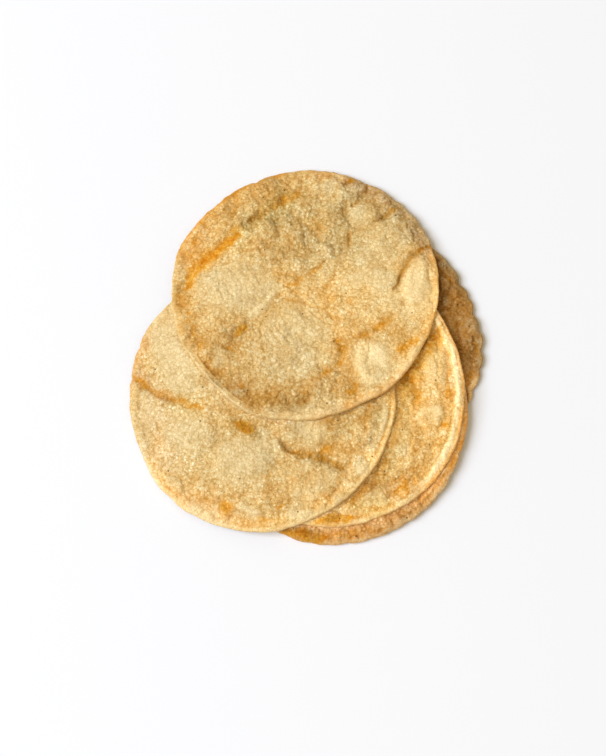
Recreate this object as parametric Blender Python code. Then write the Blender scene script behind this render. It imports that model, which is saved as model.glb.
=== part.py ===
"""Five corn tortillas lying in a loose, fanned pile on a flat surface.

Each tortilla is one closed solid: a thin round with an uneven outline, a rounded rim and puffed
blisters on its upper side. They are laid from the bottom up. A round bends under its own weight
over whatever lies beneath it, so the pile's slopes and droops come out of `settled_heights`.
Sizes at the top are metres. Places, radii and blisters of a round are millimetres.
"""

import math

import bmesh
import bpy
import numpy as np
from mathutils import Vector
from mathutils.bvhtree import BVHTree

MM = 0.001

# One round.
THICKNESS = 0.0026  # flat dough between two blisters
RIM_ROUNDING = 0.0020  # how far in from the outline the rim starts to round over
RIM_LEVELS = (0.7, 0.0, -0.7, -1.0)  # rows down the rim, from the middle of its height, at 1 and -1
SHEET_RINGS = 10  # rings of triangles between a round's middle and its rim
SECTORS = 6  # the sheet starts as a hexagon, so that its triangles stay even

# The pile.
REST_GAP = 0.00045  # air left between two rounds where they touch
STIFFNESS = 0.0015  # resistance to bending: a limp round droops more
BEND_DEGREE = 5  # highest power in the polynomial that a bent round follows
CONTACT_FIRMNESS = 400.0
SETTLING_STEPS = 60
FEELING_PITCH = 0.002  # spacing of the places where a round feels for what lies below it
FOOT_SHARE = 0.80  # share of the lowest round's radius that lies dead flat
FOOT_CURL = 0.0012  # how far its rim lifts off the surface
SKY = 0.2  # height from which rounds are felt for, and depth from which their undersides are

DOUGH_ROUGHNESS = 0.75
TINY = 1e-6


class Round:
    """What one tortilla is: its place, its outline and its blisters.

    The outline is a list of radii at equal angles, counterclockwise from +X. A blister is its middle
    (x, y), half its length, half its width, the angle of its length in degrees, and its rise.
    """

    def __init__(self, name, centre, radii, blisters, colour):
        self.name = name
        self.centre = Vector((centre[0] * MM, centre[1] * MM, 0.0))
        self.radii = radii
        self.blisters = blisters
        self.colour = colour

    def radius_at(self, angle):
        """The outline's radius in metres, on a smooth closed curve through the radii given."""
        count = len(self.radii)
        place = angle / (2 * math.pi) * count
        first = math.floor(place)
        t = place - first
        before, start, end, after = (self.radii[(first + k) % count] for k in (-1, 0, 1, 2))
        return 0.5 * MM * (
            2 * start
            + (end - before) * t
            + (2 * before - 5 * start + 4 * end - after) * t**2
            + (3 * start - before - 3 * end + after) * t**3
        )

    def puff(self, x, y):
        """How far the blisters raise the upper side, in metres, at a point from the middle."""
        height = 0.0
        for bx, by, length, width, turn, rise in self.blisters:
            dx, dy = x / MM - bx, y / MM - by
            cos, sin = math.cos(math.radians(turn)), math.sin(math.radians(turn))
            along = (dx * cos + dy * sin) / length
            across = (dy * cos - dx * sin) / width
            reach = along**2 + across**2
            if reach < 1:
                height = max(height, rise * MM * (1 - reach) ** 2)
        return height


# From the bottom up.
PILE = [
    Round(
        "tortilla_1",
        (25.6, 6.4),
        [74.5, 73.5, 75, 74.5, 74.5, 75, 74.5, 74, 74, 75, 74.5, 74, 74.5, 75, 74, 73.5],
        [(55, 38, 16, 9, 60, 1.0), (66, 8, 15, 8, 85, 1.2), (56, -18, 16, 10, 70, 0.9)],
        (0.62, 0.42, 0.17, 1),
    ),
    Round(
        "tortilla_2",
        (15.4, -30.8),
        [74.5, 75, 74.5, 74.5, 75, 74.5, 74, 74.5, 75, 74.5, 74, 74.5, 74.5, 74, 74.5, 74],
        [(30, -64, 20, 7, 25, 0.8), (60, -36, 18, 7, 60, 0.9), (-14, -69, 16, 6, -8, 0.7)],
        (0.74, 0.52, 0.22, 1),
    ),
    Round(
        "tortilla_3",
        (12.9, -20.3),
        [75.5, 76, 77.5, 76.5, 75.5, 75, 76, 76, 75.5, 75, 75.5, 75.5, 75.5, 75.5, 76.5, 76],
        [(59, 16, 22, 10, 105, 1.6), (56, -13, 12, 10, 90, 1.2), (26, -57, 13, 9, 25, 1.3)],
        (0.80, 0.58, 0.27, 1),
    ),
    Round(
        "tortilla_4",
        (-25.8, -23.2),
        [75.5, 75, 75.5, 75, 74.5, 75, 75.5, 75.5, 74, 73.5, 75.5, 75.5, 75.5, 74.5, 74.5, 75],
        [
            (27, -12, 21, 19, 0, 1.9),  # half under the round above
            (-49, 16, 30, 20, 150, 1.3),  # beyond the long crease
            (-6, -62, 13, 7, -20, 1.1),
            (34, -48, 15, 13, 40, 1.2),
            (51, -39, 13, 9, 55, 1.1),
            (66, -14, 20, 7, 80, 1.4),  # along the rim
            (-38, -26, 24, 17, 20, 0.7),
        ],
        (0.82, 0.60, 0.29, 1),
    ),
    Round(
        "tortilla_5",
        (-0.8, 37.6),
        [75.5, 77.5, 77.5, 75.5, 74.5, 73.5, 74, 76.5, 76, 76, 75.5, 78, 75.5, 73, 71.5, 73.5],
        [
            (-42, 1, 24, 19, 10, 1.7),  # the wide pale one on the left
            (-5, -24, 27, 22, 100, 1.5),  # the wrinkled one near the middle
            (37, -41, 16, 15, 0, 2.6),  # the tall one by the near rim
            (64, 10, 20, 12, 75, 1.9),  # the leaf-shaped one on the right rim
            (32, 46, 17, 14, 30, 1.6),
            (12, 64, 18, 11, 0, 1.2),
            (-27, 56, 18, 14, 20, 1.3),
            (-56, 36, 22, 13, 52, 1.2),  # beyond the long crease
            (-13, 33, 12, 22, 30, 1.2),
            (-47, -43, 9, 6, 45, 1.0),
            (10, -58, 16, 9, 20, 0.9),
        ],
        (0.78, 0.57, 0.27, 1),
    ),
]


def powers(u, v):
    """The polynomial's terms at each place, one row a place, and their second derivatives."""
    terms, uu, vv, uv = [], [], [], []
    for i in range(BEND_DEGREE + 1):
        for j in range(BEND_DEGREE + 1 - i):
            terms.append(u**i * v**j)
            uu.append(i * (i - 1) * u ** max(i - 2, 0) * v**j)
            vv.append(j * (j - 1) * u**i * v ** max(j - 2, 0))
            uv.append(i * j * u ** max(i - 1, 0) * v ** max(j - 1, 0))
    return [np.array(column).T for column in (terms, uu, vv, uv)]


def settled_heights(places, reach, floor):
    """The polynomial of a springy round that lies under its own weight on a floor.

    `places` and `floor` are metres, `reach` is the round's radius. The heights come out in
    millimetres. Weight and bending are as small as they can be, with a firm push wherever the
    round would dip below the floor.
    """
    terms, uu, vv, uv = powers(places[:, 0] / reach, places[:, 1] / reach)
    floor = floor / MM
    count = len(places)
    bending = STIFFNESS * (uu.T @ uu + vv.T @ vv + 2 * uv.T @ uv) / count
    weight = terms.mean(axis=0)
    bent = np.zeros(terms.shape[1])
    bent[0] = floor.max()
    for _ in range(SETTLING_STEPS):
        pressed = floor > terms @ bent
        push = CONTACT_FIRMNESS / count * terms[pressed]
        wanted = np.linalg.solve(
            bending + push.T @ terms[pressed] + TINY**2 * np.eye(len(bent)),
            push.T @ floor[pressed] - weight,
        )
        bent = bent + 0.5 * (wanted - bent)
    return bent


def unit_puck():
    """A round of radius 1 between the levels -1 and 1, in even triangles."""
    puck = bmesh.new()
    bmesh.ops.create_circle(puck, cap_ends=True, cap_tris=True, segments=SECTORS, radius=1.0)
    bmesh.ops.subdivide_edges(puck, edges=puck.edges[:], cuts=SHEET_RINGS - 1, use_grid_fill=True)
    for vertex in puck.verts:
        vertex.co = from_hexagon(vertex.co)
    upper = puck.verts[:] + puck.edges[:] + puck.faces[:]
    rim = [edge for edge in puck.edges if edge.is_boundary]
    lower = bmesh.ops.duplicate(puck, geom=upper)["geom"]
    for vertex in [item for item in lower if isinstance(item, bmesh.types.BMVert)]:
        vertex.co.z = -1.0
    for level in RIM_LEVELS:
        row = bmesh.ops.extrude_edge_only(puck, edges=rim)["geom"]
        rim = [item for item in row if isinstance(item, bmesh.types.BMEdge)]
        for vertex in [item for item in row if isinstance(item, bmesh.types.BMVert)]:
            vertex.co.z = level
    bmesh.ops.remove_doubles(puck, verts=puck.verts[:], dist=10 * TINY)
    bmesh.ops.triangulate(puck, faces=puck.faces[:])
    bmesh.ops.recalc_face_normals(puck, faces=puck.faces[:])
    return puck


def from_hexagon(point):
    """A point of the hexagon moved so that the hexagon becomes a disc with evenly spread rings."""
    sector = 2 * math.pi / SECTORS
    angle = math.atan2(point.y, point.x)
    corner = math.floor((angle - sector / 2) / sector + TINY) * sector + sector / 2
    past = angle - corner
    distance = math.hypot(point.x, point.y)
    ring = distance * math.cos(past - sector / 2) / math.cos(sector / 2)
    if ring < TINY:
        return Vector((0.0, 0.0, 1.0))
    along_side = distance * math.sin(past) / (ring * math.sin(sector))
    angle = corner + sector * along_side
    return Vector((ring * math.cos(angle), ring * math.sin(angle), 1.0))


def shaped(puck, tortilla, underside):
    """The puck stretched to a tortilla's outline, with its underside at the heights given."""
    solid = puck.copy()
    for vertex in solid.verts:
        level = vertex.co.z
        share = math.hypot(vertex.co.x, vertex.co.y)
        angle = math.atan2(vertex.co.y, vertex.co.x)
        inset = RIM_ROUNDING * (1 - math.sqrt(max(1 - level**2, 0.0)))
        radius = share * (tortilla.radius_at(angle) - inset)
        x, y = radius * math.cos(angle), radius * math.sin(angle)
        depth = THICKNESS + tortilla.puff(x, y)
        vertex.co = (x, y, underside(x, y) + depth * (1 + level) / 2)
    return solid


def lowest_underside(tortilla):
    """A flat foot whose edge curls up a little."""

    def height(x, y):
        share = math.hypot(x, y) / tortilla.radius_at(math.atan2(y, x))
        curl = max(share - FOOT_SHARE, 0.0) / (1 - FOOT_SHARE)
        return FOOT_CURL * curl**2

    return height


def feeling_places(tortilla):
    """A square grid of places under a tortilla, measured from its middle."""
    reach = max(tortilla.radii) * MM
    line = np.arange(-reach, reach, FEELING_PITCH)
    return np.array(
        [
            (x, y)
            for x in line
            for y in line
            if math.hypot(x, y) < tortilla.radius_at(math.atan2(y, x)) + FEELING_PITCH
        ]
    )


def floor_under(tortilla, places, laid):
    """The height of what lies below each place, with the air that is left above it."""
    heights = []
    for x, y in places:
        start = tortilla.centre + Vector((x, y, SKY))
        hits = [tree.ray_cast(start, Vector((0, 0, -1)))[0] for tree in laid]
        heights.append(max([hit.z for hit in hits if hit] + [0.0]) + REST_GAP)
    return np.array(heights)


def bent_underside(bent, reach, lift):
    """The height of a settled tortilla's underside as a function of the place."""

    def height(x, y):
        terms = powers(np.array([x / reach]), np.array([y / reach]))[0]
        return float(terms[0] @ bent) * MM + lift

    return height


def settle(puck, tortilla, laid):
    """A tortilla's solid, bent over those laid before it and just clear of them."""
    places = feeling_places(tortilla)
    floor = floor_under(tortilla, places, laid)
    reach = max(tortilla.radii) * MM
    bent = settled_heights(places, reach, floor)
    solid = shaped(puck, tortilla, bent_underside(bent, reach, 0.0))
    tree = BVHTree.FromBMesh(solid)
    hits = [tree.ray_cast(Vector((x, y, -SKY)), Vector((0, 0, 1)))[0] for x, y in places]
    lift = max(low - hit.z for low, hit in zip(floor, hits) if hit)
    solid.free()
    return shaped(puck, tortilla, bent_underside(bent, reach, lift))


def dough(tortilla):
    """Baked maize dough in a tortilla's own shade."""
    material = bpy.data.materials.new(tortilla.name + "_dough")
    material.use_nodes = True
    surface = material.node_tree.nodes["Principled BSDF"]
    surface.inputs["Base Color"].default_value = tortilla.colour
    surface.inputs["Roughness"].default_value = DOUGH_ROUGHNESS
    surface.inputs["Metallic"].default_value = 0.0
    material.diffuse_color = tortilla.colour
    return material


def place(tortilla, solid, pile):
    """The tortilla's object, with its origin below its middle on the surface."""
    mesh = bpy.data.meshes.new(tortilla.name)
    solid.to_mesh(mesh)
    mesh.materials.append(dough(tortilla))
    mesh.shade_smooth()
    item = bpy.data.objects.new(tortilla.name, mesh)
    bpy.context.scene.collection.objects.link(item)
    item.parent = pile
    item.location = tortilla.centre
    return item


def centre_pile(pile, items):
    """Moves the pile so that the middle of its box is over the origin."""
    corners = [
        item.location + Vector(corner) for item in items for corner in item.bound_box
    ]
    for axis in (0, 1):
        low = min(corner[axis] for corner in corners)
        high = max(corner[axis] for corner in corners)
        pile.location[axis] = -(low + high) / 2


def main():
    for item in list(bpy.data.objects):
        bpy.data.objects.remove(item)
    pile = bpy.data.objects.new("pile", None)
    bpy.context.scene.collection.objects.link(pile)
    puck = unit_puck()
    items, laid = [], []
    for tortilla in PILE:
        if laid:
            solid = settle(puck, tortilla, laid)
        else:
            solid = shaped(puck, tortilla, lowest_underside(tortilla))
        items.append(place(tortilla, solid, pile))
        bmesh.ops.translate(solid, verts=solid.verts[:], vec=tortilla.centre)
        laid.append(BVHTree.FromBMesh(solid))
        solid.free()
    puck.free()
    centre_pile(pile, items)


main()
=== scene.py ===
"""The looks of a loose, fanned stack of five corn tortillas.

Each tortilla is one mesh that stands for one solid of the frame. A blank round is modelled once and
copied. Each copy is stretched to its solid's outline and bend, then sculpted: puffed blisters,
creases, ridges, wrinkles, folds along the rim and a grain of small bubbles. The same places say
where the dough is toasted, pale or dull, and where shade and light are painted into its colour, and
the dough's material reads that.

Lengths on a tortilla are millimetres from its middle, x to the right and y away. Angles are degrees
counterclockwise from x. The frame, the light and the camera are in metres.
"""

import math

import bpy
import numpy as np
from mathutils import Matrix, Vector
from mathutils.bvhtree import BVHTree


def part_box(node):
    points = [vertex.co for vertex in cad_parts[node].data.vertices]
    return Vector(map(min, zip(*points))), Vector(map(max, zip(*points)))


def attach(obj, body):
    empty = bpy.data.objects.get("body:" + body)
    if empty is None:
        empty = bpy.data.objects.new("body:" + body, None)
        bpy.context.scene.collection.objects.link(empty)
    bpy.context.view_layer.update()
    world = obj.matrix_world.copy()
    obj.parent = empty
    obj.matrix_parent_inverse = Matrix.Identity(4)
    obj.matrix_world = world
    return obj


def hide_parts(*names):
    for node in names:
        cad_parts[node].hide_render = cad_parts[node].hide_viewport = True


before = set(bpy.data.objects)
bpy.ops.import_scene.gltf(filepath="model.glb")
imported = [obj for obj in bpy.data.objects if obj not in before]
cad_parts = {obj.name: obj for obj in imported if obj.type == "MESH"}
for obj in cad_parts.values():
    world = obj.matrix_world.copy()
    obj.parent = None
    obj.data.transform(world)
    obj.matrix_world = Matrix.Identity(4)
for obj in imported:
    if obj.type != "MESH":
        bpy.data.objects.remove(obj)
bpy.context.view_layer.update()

MM = 0.001

# The blank round.
SIDES = 6
TOP_CUTS = (12, 12)  # the upper sheet's rings, as the product of two rounds of cutting
UNDER_CUTS = (12, 6)  # the lower sheet is half as fine
RIM_LEVELS = (0.92, 0.7, 0.35, 0.0, -0.35, -0.7, -1.0)  # rows down the rim; the sheets are at 1 and -1
WELD = 1e-5

# What is read from a solid.
USUAL_RADIUS = 75.0
RIM_SHARE = 0.93  # corners farther out than this share of the radius belong to the rim
FEELING_PITCH = 5.0  # spacing of the places where the underside is measured
OUTLINE_WAVES = 12  # harmonics that carry the outline over to the fine mesh
UNDERSIDE_DEGREE = 8  # of the polynomial that carries over the bend

# The body of a tortilla, in millimetres.
THICKNESS = 2.6
THINNEST = 0.9
CLEARANCE = 0.12  # air under a round that lies on another
PRESS_MARGIN = 0.5  # how far inside an outline a round stops pressing on those below
PRESS_REACH = 2.0  # how far beyond that it may still hold them down
PRESS_SLOPE = 2.0  # how steeply its hold eases out there

# Its rim. A level is a share of the thickness, from -1 below to 1 above.
RIM_ROUNDING = 1.0  # how far in from the outline the rim starts to round over
RIM_WIDEST = -0.55  # level at which the rim bulges out farthest
UNDER_ROUNDING = 0.35  # how far the rim curls in below that
RIM_LIFT, RIM_LIFT_PITCH = 0.13, 21.0  # how far it stands off what it lies on, give or take as much
RIM_LIFT_FROM = 0.88  # share of the radius beyond which it does
RIM_BAND = 5.0  # width along the rim that is smoother than the rest
RIM_ROUGHNESS = 0.35  # share of the roughness that is left at the very rim
EDGE_BAND = 3.0  # width over which the relief sinks to the edge
EDGE_RELIEF = 0.25  # share of the relief that is left at the very edge
BAND_FADE = 6.0  # degrees over which a band along the rim sets in and ends
WAVE, WAVE_PITCH = 0.35, 11.0  # the uneven edge: long waves, short ones and ragged stretches
CRUMBLE, CRUMBLE_PITCH = 0.4, 4.4
RAGGED_PITCH = 4.0

# The relief of its upper side: heights, depths and spacings in millimetres.
WOBBLES = ((1.6, 9.0), (0.9, 3.6))  # how far, and at what spacing, drawn lines stray
BLEND = 4.0  # sharpness, per millimetre, of the valley between two blisters
FLAT_RISE, FLAT_PITCH = 0.25, 16.0
BLISTER_SCALE = 1.25
DOME_TOP = 0.4  # share of a blister that is flat on top
DOME_RING = 0.05  # a faint ring on its shoulder
MOAT_WIDTH = 1.15  # half-width of the hollow line round a blister, broken here and there
MOAT_DEPTH, MOAT_PITCH = 0.4, 13.0
FOLD_DEPTH = 0.45
LIP_HEIGHT = 0.7
SWELL, SWELL_PITCH = 0.34, 6.5
RIPPLE, RIPPLE_PITCH = 0.3, 3.4
PUFF_PITCH = 7.5  # of the low puffs all over the dough
RIM_PUFF, RIM_PUFF_PITCH, RIM_PUFF_BAND = 1.1, 4.8, 6.5  # the last is how far in they reach
GRAIN = 0.62
LARGE_GRAIN_PITCH, SMALL_GRAIN_PITCH, UNDER_GRAIN_PITCH = 2.1, 1.25, 1.7
UNDER_SWELL, UNDER_SWELL_PITCH, UNDER_GRAIN = 0.16, 7.0, 0.14  # of the underside

# The marks on its colour, painted shade and painted light among them.
CRISPNESS = {"scorch": 2.6, "pale": 4.0, "dull": 2.0, "warmth": 2.0, "blush": 2.0}
RIM_PUFF_PALENESS = 0.45
FLECK_SIZE = 1.0
HIDDEN_BELOW = -0.2  # level under which the dough is out of sight
COVER_NEAR, COVER_FAR = 4.0, 8.0  # gap under another round: all hidden up to the first, seen from the last
OWN_CREASE, OWN_SPOT, OWN_PALENESS = 0.7, 0.75, 0.5  # strengths of the marks on hidden dough


# ---- unevenness


def eased(t):
    """0 to 1 with a soft start and end."""
    t = np.clip(t, 0, 1)
    return t * t * (3 - 2 * t)


def turned(x, y, degrees):
    """How far each place lies along a direction, and how far to the left of it."""
    cos, sin = math.cos(math.radians(degrees)), math.sin(math.radians(degrees))
    return x * cos + y * sin, y * cos - x * sin


class Noise:
    """Seeded unevenness over the plane, from -1 to 1.

    Where more than one is wanted at a place, x or y has a fixed amount added, or they are swapped.
    """

    SIZE = 67
    TURN = 31

    def __init__(self, seed):
        self.table = np.random.default_rng(seed).uniform(-1, 1, (self.SIZE, self.SIZE))

    def at(self, x, y, pitch):
        """Smooth bumps about a pitch apart."""
        along, across = turned(x, y, self.TURN)
        u, v = along / pitch, across / pitch
        i, j = np.floor(u).astype(int), np.floor(v).astype(int)
        a, b = eased(u - i), eased(v - j)
        near = self.knot(i, j) * (1 - a) + self.knot(i + 1, j) * a
        far = self.knot(i, j + 1) * (1 - a) + self.knot(i + 1, j + 1) * a
        return near * (1 - b) + far * b

    def knot(self, i, j):
        return self.table[i % self.SIZE, j % self.SIZE]

    def rough(self, x, y, pitch, octaves=3):
        """Bumps upon bumps, each half the size of the last."""
        total = sum(self.at(x + 37 * k, y - 53 * k, pitch / 2**k) / 2**k for k in range(octaves))
        return total / (2 - 2 ** (1 - octaves))

    def streaks(self, x, y, degrees, pitch, length):
        """Bumps drawn out along a direction."""
        along, across = turned(x, y, degrees)
        return self.at(along * pitch / length, across, pitch)


class Bubbles:
    """Close-packed small bubbles of uneven size, as on dough that puffed while it baked."""

    SIZE = 71
    SMALLEST = 0.45  # size and height of the smallest, as a share of the pitch and of the highest

    def __init__(self, seed):
        self.table = np.random.default_rng(seed).random((self.SIZE, self.SIZE, 4))

    def at(self, x, y, pitch):
        """Each place's height, from 0 between bubbles to 1, and a number that is its bubble's own."""
        i, j = np.floor(x / pitch).astype(int), np.floor(y / pitch).astype(int)
        height, own = np.zeros_like(x), np.zeros_like(x)
        for di in (-1, 0, 1):
            for dj in (-1, 0, 1):
                cell = self.table[(i + di) % self.SIZE, (j + dj) % self.SIZE]
                reach = pitch * (self.SMALLEST + 0.5 * cell[:, 2])
                dx = x - (i + di + cell[:, 0]) * pitch
                dy = y - (j + dj + cell[:, 1]) * pitch
                size = self.SMALLEST + (1 - self.SMALLEST) * cell[:, 2]
                rise = (1 - (dx**2 + dy**2) / reach**2) * size
                higher = rise > height
                height = np.where(higher, rise, height)
                own = np.where(higher, cell[:, 3], own)
        return height, own


# ---- marks on a round


def distance_to(x, y, points):
    """How far each place is from a line through the points, and how far along it the nearest one is."""
    if len(points) == 1:
        return np.hypot(x - points[0][0], y - points[0][1]), np.full_like(x, 0.5)
    away, along = np.full_like(x, np.inf), np.zeros_like(x)
    for number, ((x0, y0), (x1, y1)) in enumerate(zip(points, points[1:])):
        dx, dy = x1 - x0, y1 - y0
        t = np.clip(((x - x0) * dx + (y - y0) * dy) / (dx * dx + dy * dy), 0, 1)
        gap = np.hypot(x - x0 - t * dx, y - y0 - t * dy)
        closer = gap < away
        away = np.where(closer, gap, away)
        along = np.where(closer, (number + t) / (len(points) - 1), along)
    return away, along


def marked(x, y, marks, crispness=2.0, tapered=False):
    """0 to 1 where any mark lies. A mark is its half-width, its strength and its points.

    A crisp mark is even inside and ends sharply. A tapered line thins out at both ends.
    A strength below 0 gives less than 0.
    """
    free = np.ones_like(x)
    for half_width, strength, *points in marks:
        away, along = distance_to(x, y, points)
        if tapered and len(points) > 1:
            half_width = half_width * (0.45 + 0.55 * np.sqrt(np.sin(math.pi * along).clip(0)))
        free *= 1 - strength * 0.5 ** ((away / half_width) ** crispness)
    return 1 - free


def stretch(angle, start, end):
    """1 between two angles along the rim, eased to 0 at both."""
    turn = (np.degrees(angle) - start) % 360
    return eased(turn / BAND_FADE) * eased((end - start - turn) / BAND_FADE)


def around(angle, inward, bands):
    """0 to 1 where any band along the rim lies: its two angles, its inset, half-width and strength."""
    free = np.ones_like(angle)
    for start, end, inset, half_width, strength in bands:
        fade = stretch(angle, start, end)
        free *= 1 - strength * fade * 0.5 ** ((np.abs(inward - inset) / half_width) ** 3)
    return 1 - free


def either(first, second):
    """0 to 1 where the one, the other or both are."""
    return 1 - (1 - first) * (1 - second)


def oval(x, y, middle_x, middle_y, length, width, degrees):
    """How far out each place is in an oval, 0 in its middle and 1 on its edge."""
    along, across = turned(x - middle_x, y - middle_y, degrees)
    return np.hypot(along / length, across / width)


# ---- the rounds


class Tortilla:
    """One round: what its solid says of its shape, and the features that are sculpted on it.

    blisters: middle x, y, half-length, half-width, angle of its length, rise
    ridges, grooves: marks whose strength is the rise or the depth in millimetres
    scorch, warmth, blush, pale, dull: marks on the dough's colour, some of them painted shade and, where
    dull is below 0, painted light; blush or dull below 0 takes away rim_warmth, rim_blush, rim_dull,
    rim_pale: bands along the rim where the colour differs, some of them painted shade and painted light
    rim_folds, rim_lips: bands along the rim that lie lower or higher
    ragged: stretches of the rim that are more uneven, with their two angles and by how much
    wrinkles: middle x, y, half-length, half-width, angle, direction of the wrinkles, pitch, depth
    notches: angle, depth, half-width along the rim
    flecks: places of dark specks of hull
    """

    KINDS = (
        "blisters ridges grooves scorch warmth blush pale dull rim_warmth rim_blush rim_dull"
        " rim_pale rim_folds rim_lips ragged wrinkles notches flecks"
    ).split()

    def __init__(self, name, node, slot, seed, browner, duller, pinker, **features):
        self.name, self.node, self.slot = name, node, slot
        self.browner, self.duller, self.pinker = browner, duller, pinker
        for kind in self.KINDS:
            setattr(self, kind, features.get(kind, []))
        self.noise, self.bubbles = Noise(seed), Bubbles(seed)
        self.read_solid()

    def read_solid(self):
        """The solid's middle, outline and underside."""
        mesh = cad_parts[self.node].data
        corners = np.array([vertex.co for vertex in mesh.vertices]) / MM
        low, high = (np.array(corner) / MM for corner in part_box(self.node))
        self.middle = (low + high)[:2] / 2
        x, y = (corners[:, :2] - self.middle).T
        away, angle = np.hypot(x, y), np.arctan2(y, x)
        steps = np.round(np.degrees(angle)).astype(int)
        widest = [np.where(steps == step)[0][np.argmax(away[steps == step])] for step in set(steps)]
        rim = np.array([index for index in widest if away[index] > RIM_SHARE * away.max()])
        self.waves = np.linalg.lstsq(self.harmonics(angle[rim]), away[rim], rcond=None)[0]
        solid = BVHTree.FromPolygons(corners, [face.vertices[:] for face in mesh.polygons])
        line = np.arange(-away.max(), away.max(), FEELING_PITCH)
        felt = []
        for x, y in [(x, y) for x in line for y in line]:
            start = (self.middle[0] + x, self.middle[1] + y, low[2] - 1)
            hit = solid.ray_cast(start, (0, 0, 1))[0]
            if hit and math.hypot(x, y) < away.max() - 3 * RIM_ROUNDING:
                felt.append((x, y, hit[2]))
        x, y, heights = np.array(felt).T
        self.bend = np.linalg.lstsq(self.powers(x, y), heights, rcond=None)[0]

    @staticmethod
    def harmonics(angle):
        columns = [np.ones_like(angle)]
        for k in range(1, OUTLINE_WAVES + 1):
            columns += [np.cos(k * angle), np.sin(k * angle)]
        return np.array(columns).T

    @staticmethod
    def powers(x, y):
        u, v = x / USUAL_RADIUS, y / USUAL_RADIUS
        degrees = range(UNDERSIDE_DEGREE + 1)
        return np.array([u**i * v**j for i in degrees for j in degrees if i + j < len(degrees)]).T

    def outline(self, angle):
        """The radius at each angle, with the uneven edge and its notches."""
        radius = self.harmonics(angle) @ self.waves
        x, y = radius * np.cos(angle), radius * np.sin(angle)
        waves = WAVE * self.noise.at(x, y, WAVE_PITCH)
        radius = radius + waves + CRUMBLE * self.noise.rough(y, x, CRUMBLE_PITCH, 2)
        for start, end, amount in self.ragged:
            ragged = self.noise.rough(x + 60, y, RAGGED_PITCH, 2)
            radius = radius + amount * stretch(angle, start, end) * ragged
        for place, depth, half_width in self.notches:
            gap = np.radians((np.degrees(angle) - place + 180) % 360 - 180) * USUAL_RADIUS
            radius -= depth * np.exp(-np.abs(gap / half_width) ** 1.5)
        return radius

    def underside(self, x, y):
        """The height of the solid's underside."""
        return np.maximum(self.powers(x, y) @ self.bend, 0.0)

    def covered(self, x, y):
        """The lowest that the rounds laid later leave free above each place, on the world's plane."""
        ceiling = np.full_like(x, np.inf)
        for upper in PILE[PILE.index(self) + 1 :]:
            dx, dy = x - upper.middle[0], y - upper.middle[1]
            outside = np.hypot(dx, dy) - upper.outline(np.arctan2(dy, dx)) + PRESS_MARGIN
            height = upper.underside(dx, dy) - CLEARANCE + PRESS_SLOPE * outside.clip(0)
            ceiling = np.where(outside < PRESS_REACH, np.minimum(ceiling, height), ceiling)
        return ceiling

    def wobbled(self, x, y):
        """The places, moved about a little, so that no drawn line is smooth."""
        moved_x, moved_y = x, y
        for size, pitch in WOBBLES:
            moved_x = moved_x + size * self.noise.at(x, y, pitch)
            moved_y = moved_y + size * self.noise.at(y, x, pitch)
        return moved_x, moved_y

    def puff(self, x, y):
        """The rise of the blisters and of the flat dough between them, and the moat round each blister."""
        total = np.exp(BLEND * FLAT_RISE * (1 + self.noise.rough(x, y, FLAT_PITCH)))
        moat = np.zeros_like(x)
        broken = eased(0.6 + 0.9 * self.noise.at(x + 150, y, MOAT_PITCH))
        for middle_x, middle_y, length, width, degrees, rise in self.blisters:
            reach = oval(x, y, middle_x, middle_y, length, width, degrees)
            dome = 1 - eased((reach - DOME_TOP) / (1 - DOME_TOP))
            dome = dome + DOME_RING * np.exp(-(((reach - 0.7) / 0.1) ** 2))
            total += np.exp(BLEND * BLISTER_SCALE * rise * dome) - 1
            gap = (reach - 1.0) * math.sqrt(length * width) / MOAT_WIDTH
            moat = np.maximum(moat, min(rise / 1.7, 0.9) * broken * np.exp(-(gap**2)))
        return np.log(total) / BLEND, moat

    def drawn_relief(self, x, y, angle, inward):
        """The rise of blisters, ridges and lips; the depth of moats, folds, grooves and wrinkles."""
        height, moat = self.puff(x, y)
        for half_width, rise, *points in self.ridges:
            height += marked(x, y, [(half_width, 1.0, *points)], tapered=True) * rise
        height += LIP_HEIGHT * around(angle, inward, self.rim_lips)
        hollow = FOLD_DEPTH * around(angle, inward, self.rim_folds) + MOAT_DEPTH * moat
        for half_width, depth, *points in self.grooves:
            hollow += marked(x, y, [(half_width, 1.0, *points)], tapered=True) * depth
        for *shape, direction, pitch, depth in self.wrinkles:
            patch = 1 - eased((oval(x, y, *shape) - 0.6) / 0.5)
            lines = self.noise.streaks(x, y, direction, 1.6 * pitch, 7 * pitch)
            hollow += depth * patch * eased(1 - np.abs(lines) / 0.3)
        return height, hollow

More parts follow.
